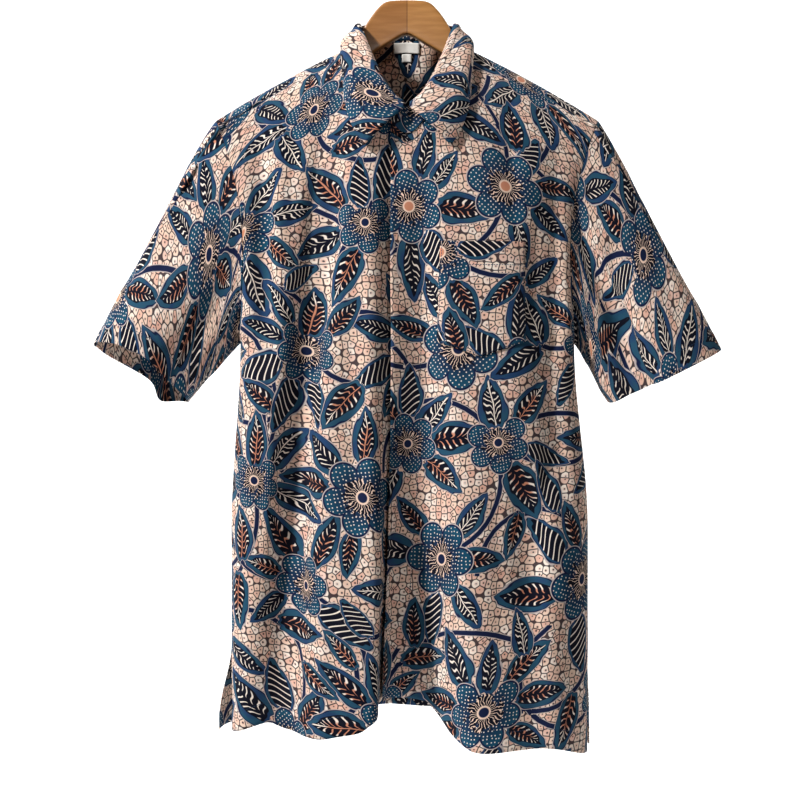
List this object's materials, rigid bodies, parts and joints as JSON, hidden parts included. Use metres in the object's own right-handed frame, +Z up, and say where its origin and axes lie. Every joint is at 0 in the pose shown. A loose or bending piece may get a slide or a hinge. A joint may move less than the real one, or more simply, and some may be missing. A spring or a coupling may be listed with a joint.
{
  "type": "batik shirt on a hanger",
  "caption": "Short-sleeved men's batik shirt with an open pointed collar, hidden-button front, chest pocket and side vents, held on a contoured wooden hanger.",
  "frame": {"origin": "the inside top of the hanger's hook, where a rail bears on it", "axes": "+Z up, -Y out of the shirt's front, +X towards the wearer's left"},
  "size_m": [0.673, 0.1255, 0.8755],
  "materials": {
    "batik_cotton": "matte printed cotton",
    "woven_label": "woven",
    "shirt_button": "semi-matt",
    "varnished_wood": "varnished",
    "hook_steel": "bright plated steel wire"
  },
  "bodies": {
    "root": {"front_left": "batik_cotton", "front_right": "batik_cotton", "back": "batik_cotton", "sleeve_left": "batik_cotton", "sleeve_right": "batik_cotton", "pocket": "batik_cotton", "collar_stand": "batik_cotton", "collar_leaf": "batik_cotton", "neck_label": "woven_label", "size_tab": "woven_label", "hanger_wood": "varnished_wood", "hanger_hook": "hook_steel", "hidden_button_1": "shirt_button", "hidden_button_2": "shirt_button", "hidden_button_3": "shirt_button", "hidden_button_4": "shirt_button", "hidden_button_5": "shirt_button", "hidden_button_6": "shirt_button"}
  },
  "joints": []
}
